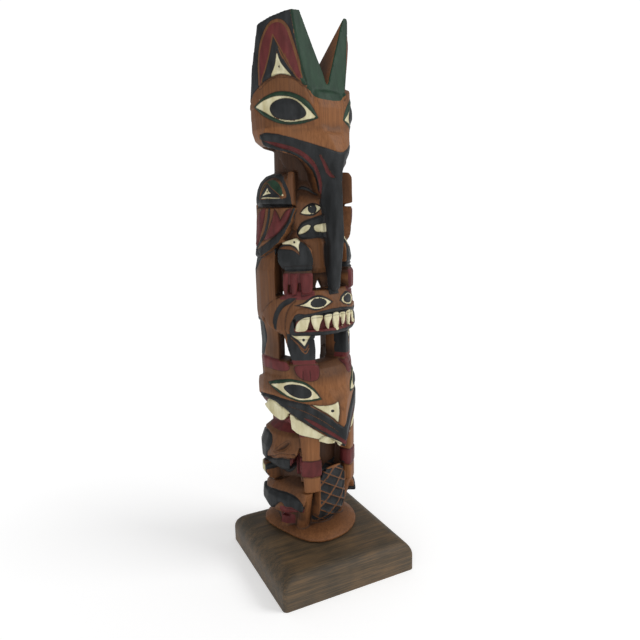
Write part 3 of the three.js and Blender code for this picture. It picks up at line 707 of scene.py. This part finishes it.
# %% Beaver
def beaver_head(tool):
    skin = (outside_of(24),)
    rim = smooth([(-90, 122), (-90, 122), (-75, 124.6), (-57, 126), (-41, 124.6), (-29, 120.2),
                  (-21, 113.6), (-21, 113.6), (-33, 112.6), (-45, 112.6), (-58, 114.6),
                  (-72, 117.4)])
    tool.area("green", rim, skin, rise=0.5, edge=1.4, groove=0.35)
    white = smooth([(-84, 121.6), (-84, 121.6), (-68, 123.2), (-54, 124.6), (-40, 123),
                    (-30, 119), (-23.4, 114.8), (-23.4, 114.8), (-35, 113.9), (-46, 113.9),
                    (-58, 116), (-70, 119)])
    tool.area("cream", white, skin, rise=-0.2, groove=0.2)
    pupil = smooth([(-64.6, 121), (-57, 123), (-45, 122.8), (-35, 120.4), (-32, 117.4),
                    (-36, 115), (-46, 114.9), (-57, 117.2)])
    tool.area("black", pupil, skin, rise=0.6, edge=3.0)

    lip_top = [(-110, 113), (-96, 114.2), (-80, 114.8), (-65, 113.8), (-50, 112.4), (-40, 111.2),
               (-32, 110), (-21.5, 105.8), (-11.3, 101.4), (-5.3, 97.6), (6, 92)]
    lip_low = [(6, 79), (-4.9, 85), (-13.4, 88.8), (-22, 92.6), (-35, 97), (-46, 100.6),
               (-57.5, 104.8), (-66, 108), (-76, 110.6), (-90, 111.6), (-104, 110.6)]
    tool.area("black", lip_top + lip_low, (outside_of(25),), rise=0.9, edge=1.4, groove=0.5)
    groove = smooth([(-42, 102.6), (-42, 102.6), (-33, 101), (-22, 97.2), (-12, 93), (-4, 89),
                     (4, 84), (4, 81.6), (-5, 87), (-13, 90.8), (-22, 94.2), (-33, 98.4)])
    tool.area("red", groove, (outside_of(27),), rise=-0.7, edge=0.7, groove=0.2)
    nostril = smooth([(-33, 110.6), (-33, 110.6), (-24, 109.7), (-14, 109.6), (-3.5, 111.2),
                      (-3.5, 111.2), (-4.4, 105), (-5.4, 98.6), (-5.4, 98.6), (-15, 104.2)])
    facet = (outside_of(27), on_left)
    tool.area("bare", nostril, facet, grow=1.0)
    tool.area("cream", nostril, facet, rise=-0.3, groove=0.3)
    tool.area("black", spot(-10.6, 106, 1.9, 1.8), facet, rise=-0.3)
    lip_line = stroke([(-60, 110), (-42, 107), (-24, 101.4), (-12, 96), (-6, 92.6)], 0.5)
    tool.area("bare", lip_line, facet, groove=0.2)
    bridge = [(1, 111), (8, 114.4), (22, 118.4), (44, 119.6), (44, 104), (12, 96), (1, 96)]
    tool.area("black", bridge, (outside_of(27), lambda p: p.x - 0.4))
    inside = [(-130, 112), (-90, 111.6), (-76, 110.4), (-58, 104.8), (-35, 97), (-18, 90),
              (-5, 85), (-5, 76), (-60, 84), (-130, 92)]
    tool.area("red", inside, (within_of(31), outside_of(16), lambda p: p.height - 90))
    tool.stain(inside, (within_of(31), lambda p: p.height - 88), 0.5)
    back = smooth([(-101, 107.2), (-91, 111), (-80, 112), (-68, 109), (-58.5, 105.6), (-62, 102.2),
                   (-69, 99.4), (-78, 100.4), (-92, 103.6)])
    tool.area("cream", back, (outside_of(26.5),), groove=0.3)
    front = smooth([(-58.8, 104), (-48, 101), (-37.6, 97.4), (-18, 90), (-18, 90), (-24, 88.2),
                    (-34, 89.6), (-48, 91.6), (-57, 94.6)])
    tool.area("cream", front, (outside_of(25),), groove=0.3)
    tip = smooth([(-25, 86.8), (-18.5, 90), (-4, 86), (-4, 83.4), (-14, 84)])
    tool.area("cream", tip, (outside_of(25),), groove=0.3)


def beaver_arms(tool):
    arm = (outside_of(21.5),)
    for z in (74.6, 63.8):
        tool.area(None, stroke([(-50, z), (-36, z - 0.6), (-20, z)], 0.4, False), arm,
                  groove=0.5, width=1.4)
    tool.area("red", [(-52, 74.8), (-36, 74), (-18, 74.8), (-18, 64.4), (-36, 63.4), (-52, 64.4)],
              arm, rise=0.3)


def beaver_tail(tool):
    """The lattice on the tail leans: it isn't the same on both sides of the middle."""
    tail = (outside_of(15), lambda p: 10 - np.abs(p.x), lambda p: p.height - 28,
            lambda p: 66 - p.height, lambda p: -p.y - 14)
    whole = [(-32, 22), (-32, 70), (4, 72), (4, 22)]
    tool.stain(whole, tail, 0.55)
    field = Vector((2.1, 48.2))  # the middle of one field, and the steps to the next ones
    down, up = Vector((8, -5)), Vector((3.8, 4.3))
    share = 0.44  # how far a field reaches to each side, in steps
    for i in range(-6, 9):
        for k in range(-6, 9):
            middle = field + down * i + up * k
            if abs(middle.x) < 14 and 24 < middle.y < 74:
                corners = [tuple(middle + (down * a + up * b) * share)
                           for a, b in ((1, 1), (1, -1), (-1, -1), (-1, 1))]
                tool.flat("black", corners, tail, rise=-0.7, edge=0.8)


def beaver_legs(tool):
    leg = (outside_of(20),)
    crescent = smooth([(-132, 84), (-118, 87), (-104, 87.6), (-94, 86.6), (-89.4, 83), (-91, 78.6),
                       (-97, 75), (-99, 70), (-106, 66), (-132, 66)])
    tool.area("black", crescent, leg, rise=0.4, groove=0.4)
    ledge = smooth([(-99, 71), (-86, 74), (-70, 78), (-56, 77), (-56, 74.4), (-72, 74), (-88, 71)])
    tool.area(None, ledge, leg, rise=0.5, groove=0.3)
    paw = smooth([(-99, 70), (-88, 71.6), (-76, 73.2), (-60, 73.8), (-60, 73.8), (-62, 66),
                  (-74, 61), (-90, 60), (-106, 64)])
    tool.area("black", paw, (outside_of(17),), rise=0.3, groove=0.4)
    hollow = smooth([(-84, 77.4), (-74, 82.8), (-64, 86), (-60, 84), (-66, 80.4), (-74, 78.4)])
    tool.area(None, hollow, leg, rise=-1.6, edge=2.0, groove=0.3)
    # Painted shadow in the carved hollow of the thigh.
    tool.stain(hollow, leg, 0.9, 3)
    for angle in (-60, -54.5):
        finger = [(angle - 2.4, 74.5), (angle + 2.4, 74.5), (angle + 2.0, 60), (angle - 2.8, 60)]
        tool.area("red", finger, (outside_of(16),), rise=0.5, edge=1.0, groove=0.5)
    tool.area("cream", [(-132, 64), (-107, 64), (-105, 60), (-110, 55), (-132, 54)],
              (outside_of(26),), groove=0.4)
    tool.area("black", [(-107, 65), (-102, 64), (-101, 59), (-105, 55), (-110, 55), (-105, 60)],
              (outside_of(24),))
    sole = smooth([(-128, 48), (-110, 48.4), (-92, 50), (-68, 50.6), (-53, 48.6), (-46, 44.6),
                   (-46.5, 39.6), (-56, 41.6), (-68, 42.2), (-76, 44.6), (-90, 38), (-104, 35),
                   (-128, 34)])
    tool.area("black", sole, leg, rise=0.4, groove=0.5)
    tool.area("red", [(-76, 42.4), (-60, 43.4), (-46, 40), (-46, 37), (-64, 37.4), (-78, 38)],
              (outside_of(24),))
    toes = (within_of(24), outside_of(11), lambda p: p.height - 24.6, lambda p: 31 - p.height,
            lambda p: 0.61 * p.y - 0.79 * p.x - 9.6)
    tool.area("red", [(-112, 20), (-112, 34), (-50, 34), (-50, 20)], toes)
    # Stain and painted shade on the flanks, darkest where they lie deep.
    flank = [(-44, 98), (-44, 30), (-132, 30), (-132, 98)]
    tool.stain(flank, (), 0.6)
    tool.stain(flank, (within_of(24),), 0.85)
    # Painted shade on the trunk, deep behind the tail.
    tool.stain([(-40, 92), (6, 92), (6, 40), (-40, 40)], (within_of(22.5),), 1.0, 3)
    tool.stain([(-180, 34), (6, 34), (6, 18), (-180, 18)], (), 0.25)


def beaver(tool):
    for part in (beaver_head, beaver_arms, beaver_tail, beaver_legs):
        part(tool)


# %% [markdown]
# ## From solid to carving
#
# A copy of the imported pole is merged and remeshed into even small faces, because a relief needs
# vertices wherever the knife goes. A little smoothing wears its edges as a carver's last cuts and
# the sandpaper do. Then the knife pass moves each vertex along its normal.

# %% Carve the pole
VOXEL = 0.5
TRIANGLES = 195000

pole = bpy.data.objects.new("carved_pole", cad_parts["pole"].data.copy())
bpy.context.scene.collection.objects.link(pole)
select_only(pole)
bpy.ops.object.mode_set(mode="EDIT")
bpy.ops.mesh.select_all(action="SELECT")
bpy.ops.mesh.remove_doubles(threshold=0.01 * MM)
bpy.ops.object.mode_set(mode="OBJECT")
apply_modifier(pole, "REMESH", mode="VOXEL", voxel_size=VOXEL * MM)
apply_modifier(pole, "SMOOTH", factor=0.5, iterations=4)
print("fine mesh", triangles(pole), "triangles")


def work_over(tool):
    for figure in (bird, bear, beaver):
        figure(tool)
    return tool


places = Places(pole.data)
knife = work_over(Knife(places))
carved = places.points + normals_of(pole.data) * (knife.rise * MM)[:, None]
pole.data.vertices.foreach_set("co", carved.ravel())
pole.data.update()
print("deepest cut", round(knife.rise.min(), 2), "mm, highest rise", round(knife.rise.max(), 2), "mm")

# %% [markdown]
# Four places that a carver would have rounded over are worn softer: the square front of the
# wing, the root of the horns, the right side of the head and the brow. Faces far from any painted
# edge are then merged until the piece is light, and the brush pass follows on the mesh that is left.

# %% Soften, thin and paint the mesh
def group(piece, name, weights):
    made = piece.vertex_groups.new(name=name)
    steps = np.round(np.clip(weights, 0, 1) * 10).astype(int)
    for step in range(1, 11):
        made.add(np.flatnonzero(steps == step).tolist(), step / 10, "REPLACE")
    return made.name


places = Places(pole.data)
worn = np.zeros(len(places.along))
for outline, limits in (
        ([(-38, 232), (-46, 250), (-70, 250), (-62, 240), (-54, 232)], ()),
        ([(-26, 283.6), (-26, 296), (8, 296), (8, 283.6)], ()),
        ([(-36, 276), (-36, 300), (-90, 300), (-90, 276)], (lambda p: p.x,)),
        ([(-60, 261), (-60, 272), (8, 274), (8, 259)], ())):
    worn = np.maximum(worn, ease(places.inside(outline, limits) / 3 + 0.5))
apply_modifier(pole, "SMOOTH", factor=0.5, iterations=30, vertex_group=group(pole, "worn", worn))

places = Places(pole.data)
brush = work_over(Brush(places))
from_edge = np.min([np.abs(brush.paint[name]) for name in PAINTS], 0)
# The bear's leg is flat and carries thin painted lines, so none of its faces are merged.
flat_leg = places.inside([(-62, 135), (-22, 135), (-22, 154), (-62, 154)], (outside_of(26),)) > 0
plain = group(pole, "plain", np.where(flat_leg, 0, np.clip(from_edge / 5, 0.1, 0.7)))
if triangles(pole) > TRIANGLES:
    apply_modifier(pole, "DECIMATE", ratio=TRIANGLES / triangles(pole), vertex_group=plain,
                   vertex_group_factor=1e-5)
print("carved pole", triangles(pole), "triangles")


def hollowness(mesh, points, rounds):
    """How far each vertex lies below the average of its surroundings, in millimetres."""
    ends = np.empty(len(mesh.edges) * 2, int)
    mesh.edges.foreach_get("vertices", ends)
    a, b = ends.reshape(-1, 2).T
    share = np.bincount(a, minlength=len(points)) + np.bincount(b, minlength=len(points))
    soft = points.copy()
    for _ in range(rounds):
        soft = np.stack([
            (np.bincount(a, soft[b, k], len(points)) + np.bincount(b, soft[a, k], len(points)))
            / share for k in range(3)], 1)
    return ((soft - points) * normals_of(mesh)).sum(1) / MM


def note(mesh, name, values):
    attribute = mesh.attributes.new(name, "FLOAT", "POINT")
    attribute.data.foreach_set("value", values.astype(np.float32))


painted = Places(pole.data)
brush = work_over(Brush(painted))
for name in PAINTS:
    note(pole.data, name, brush.paint[name])
note(pole.data, "line", brush.line)
# The darkening of the stain areas, the hollowness and the depth below the bark carry stain and painted
# shade to the shader.
note(pole.data, "dark", brush.dark)
note(pole.data, "hollow", hollowness(pole.data, painted.points, 12))
note(pole.data, "depth", LOG_RADIUS - painted.radius)
select_only(pole)
bpy.ops.object.shade_smooth()
print("painted areas noted on", len(painted.along), "vertices")

# %% [markdown]
# ## Cedar and paint
#
# The cedar is stained brown and lightly varnished. Its grain runs up the log, the hollows are darkest
# with stain and painted shade, and the paints are thin enough to show the wood a little at their edges.

# %% Painted cedar
cedar = Shader("painted_cedar")
grain = cedar.noise((0.9, 0.9, 0.03), detail=4.0, roughness=0.6)
patches = cedar.noise((0.05, 0.05, 0.03), detail=2.0)
fine = cedar.noise((3.0, 3.0, 0.25), detail=2.0)
hollow = cedar.attribute("hollow")
line = cedar.attribute("line")
depth = cedar.attribute("depth")
tone = (grain * 0.6 + patches * 0.5 + fine * 0.15 - 0.12).clamped()
wood = cedar.ramp(tone, (
    (0.25, paint_colour(86, 53, 33)),
    (0.5, paint_colour(128, 83, 49)),
    (0.75, paint_colour(150, 101, 63)),
))
# Painted shade darkens the wood deep below the bark and in hollows; the stain areas add stain and
# painted shade, and random patches vary the tone.
stain_and_shade = (depth.band(3.0, 14.0) * 0.5 + hollow.band(0.1, 0.8) * 0.6
            + cedar.attribute("dark") * (0.8 + (patches - 0.5) * 1.2)
            + patches.band(0.48, 0.72) * 0.25).clamped()
# The dark brown that stain and painted shade both take.
stain = cedar.mix(grain, paint_colour(46, 31, 22), paint_colour(84, 56, 39))
colour = cedar.mix(stain_and_shade, wood, stain)
wobble = (cedar.noise((0.8, 0.8, 0.8), detail=2.0) - 0.5) * 0.35
PAINT_TONES = {
    "red": (paint_colour(76, 32, 32), paint_colour(104, 46, 46)),
    "green": (paint_colour(24, 45, 32), paint_colour(38, 63, 46)),
    "cream": (paint_colour(186, 176, 134), paint_colour(222, 216, 184)),
    "black": (paint_colour(25, 27, 28), paint_colour(45, 47, 49)),
}
for name, (dark, light) in PAINT_TONES.items():
    mask = (cedar.attribute(name) + wobble + 0.06).band(0.0, 0.14)
    shade = cedar.mix(cedar.noise((0.25, 0.25, 0.08), detail=3.0).band(0.3, 0.7), dark, light)
    colour = cedar.mix(mask, colour, shade)
# Darker still along the knife cuts, where dirt collects, and painted shade in the hollows.
edge_dirt = (1 - line.band(0.05, 0.45)) * 0.6
colour = cedar.mix((edge_dirt + hollow.band(0.3, 0.9) * 0.35).clamped(), colour,
                   paint_colour(30, 20, 16))
cedar.feed(cedar.surface.inputs["Base Color"], colour)
cedar.feed(cedar.surface.inputs["Roughness"], 0.42 + grain * 0.2)
cedar.surface.inputs["Specular IOR Level"].default_value = 0.2
cedar.feed(cedar.surface.inputs["Normal"], cedar.bump(grain * 0.5 + fine * 0.5, 0.12))
pole.data.materials.clear()
pole.data.materials.append(cedar.material)
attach(pole, "root")
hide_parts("pole")
print("painted cedar on", pole.name)

# %% [markdown]
# ## The plinth
#
# The pole stands on a square of planed board, its top edges rounded over by a router and its
# upright corners only broken with sandpaper. It is one bevelled block with open, stained grain.

# %% Plinth
low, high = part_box("plinth")
ROUNDING = 9.5 * MM
CORNER = 2.5 * MM

bpy.ops.object.select_all(action="DESELECT")
bpy.ops.mesh.primitive_cube_add(size=1, location=(low + high) / 2, scale=high - low)
plinth = bpy.context.object
plinth.name = "board_plinth"
bpy.ops.object.transform_apply(location=True, rotation=True, scale=True)


def pick_edges(piece, wanted):
    """Selects the edges whose two ends satisfy `wanted(a, b)`."""
    bpy.ops.object.mode_set(mode="OBJECT")
    bpy.context.tool_settings.mesh_select_mode = (False, True, False)
    for part in (piece.data.vertices, piece.data.edges, piece.data.polygons):
        part.foreach_set("select", [False] * len(part))
    points = [v.co for v in piece.data.vertices]
    for edge in piece.data.edges:
        edge.select = wanted(points[edge.vertices[0]], points[edge.vertices[1]])
    bpy.ops.object.mode_set(mode="EDIT")


def at_corner(a, b):
    """The upright edges, and the mitres where two rounded edges meet."""
    off = (abs(abs(a.x) - abs(a.y)), abs(abs(b.x) - abs(b.y)),
           abs(abs(a.x - b.x) - abs(a.y - b.y)))
    return max(off) < 0.05 * MM


pick_edges(plinth, lambda a, b: min(a.z, b.z) > high.z - 0.1 * MM)
bpy.ops.mesh.bevel(offset=ROUNDING, segments=12, profile=0.5, affect="EDGES")
pick_edges(plinth, at_corner)
bpy.ops.mesh.bevel(offset=CORNER, segments=5, profile=0.5, affect="EDGES")
bpy.ops.object.mode_set(mode="OBJECT")
select_only(plinth)
bpy.ops.object.shade_smooth_by_angle(angle=math.radians(35))
print("plinth", [round(s / MM, 1) for s in plinth.dimensions], "mm")

# %% Stained board
board = Shader("stained_board")
bands = board.noise((0.012, 0.3, 0.3), detail=4.0, roughness=0.6)
pores = board.noise((0.06, 1.6, 1.6), detail=3.0, roughness=0.7)
blotch = board.noise((0.05, 0.05, 0.05), detail=3.0)
tone = (bands * 0.5 + pores * 0.6 + blotch * 0.4 - 0.25).clamped()
stain = board.ramp(tone, (
    (0.28, paint_colour(38, 33, 24)),
    (0.47, paint_colour(70, 58, 41)),
    (0.72, paint_colour(114, 88, 57)),
))
board.feed(board.surface.inputs["Base Color"], stain)
board.feed(board.surface.inputs["Roughness"], 0.5 + pores * 0.2)
board.feed(board.surface.inputs["Normal"], board.bump(pores * 0.7 + bands * 0.3, 0.25))
plinth.data.materials.append(board.material)
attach(plinth, "root")
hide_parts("plinth")
print("stained board on", plinth.name)

# %% [markdown]
# ## The studio
#
# The piece stands on a white table under broad, soft light: a lamp above and to the right, a
# wider one in front on the left, and a white room all round, which fills the shadows.

# %% Table, lamps and camera
bpy.ops.mesh.primitive_plane_add(size=8, location=(0, 0, 0))
table = bpy.context.object
table.name = "table"
ROOM_SEEN = 1.05
white = Shader("white_table")
away = white.node("ShaderNodeVectorMath", {"operation": "LENGTH"}, white.place((1, 1, 1)),
                  output="Value")
glow = away.band(70, 330)
white.feed(white.surface.inputs["Base Color"],
           white.mix(glow, (0.9, 0.9, 0.9, 1), (0.0, 0.0, 0.0, 1)))
white.feed(white.surface.inputs["Roughness"], 1.0)
white.surface.inputs["Emission Strength"].default_value = 1.0
white.feed(white.surface.inputs["Emission Color"],
           white.mix(glow, (0.36, 0.36, 0.36, 1), (ROOM_SEEN, ROOM_SEEN, ROOM_SEEN, 1)))
table.data.materials.append(white.material)

world = bpy.data.worlds.new("white_room")
world.use_nodes = True
backdrop = world.node_tree.nodes["Background"]
backdrop.inputs["Color"].default_value = (1, 1, 1, 1)
# The room is seen as pure white, and lights the piece less than it shows.
ROOM_LIGHT = 0.4
seen = world.node_tree.nodes.new("ShaderNodeLightPath")
strength = world.node_tree.nodes.new("ShaderNodeMath")
strength.operation = "MULTIPLY_ADD"
strength.inputs[1].default_value = ROOM_SEEN - ROOM_LIGHT
strength.inputs[2].default_value = ROOM_LIGHT
world.node_tree.links.new(seen.outputs["Is Camera Ray"], strength.inputs[0])
world.node_tree.links.new(strength.outputs[0], backdrop.inputs["Strength"])
bpy.context.scene.world = world


def soft_lamp(name, place, size, watts):
    lamp = bpy.data.lights.new(name, "AREA")
    lamp.size = size
    lamp.energy = watts
    holder = bpy.data.objects.new(name, lamp)
    holder.location = place
    holder.rotation_euler = (Vector((0, 0, 0.15)) - holder.location).to_track_quat("-Z", "Y").to_euler()
    bpy.context.scene.collection.objects.link(holder)


soft_lamp("key", Vector((1.0, -0.8, 1.1)), 0.7, 11)
soft_lamp("front", Vector((-0.9, -1.3, 0.8)), 1.2, 7)

EYE = Vector((-153.4, -319.5, 228.6)) * MM
YAW, PITCH, ROLL = (math.radians(a) for a in (26.26, 11.27, -1.34))
ahead = Vector((math.sin(YAW) * math.cos(PITCH), math.cos(YAW) * math.cos(PITCH), -math.sin(PITCH)))
level = ahead.cross(Vector((0, 0, 1))).normalized()
upward = level.cross(ahead)
right = level * math.cos(ROLL) + upward * math.sin(ROLL)
top = upward * math.cos(ROLL) - level * math.sin(ROLL)
lens = bpy.data.cameras.new("camera")
lens.lens = 33.06
lens.sensor_width = 36
lens.clip_start = 0.01
camera = bpy.data.objects.new("camera", lens)
camera.matrix_world = Matrix.Translation(EYE) @ Matrix((right, top, -ahead)).transposed().to_4x4()
bpy.context.scene.collection.objects.link(camera)
bpy.context.scene.camera = camera
bpy.context.scene.view_settings.view_transform = "Standard"
print("camera", [round(c, 3) for c in camera.location], "lens", lens.lens, "mm")
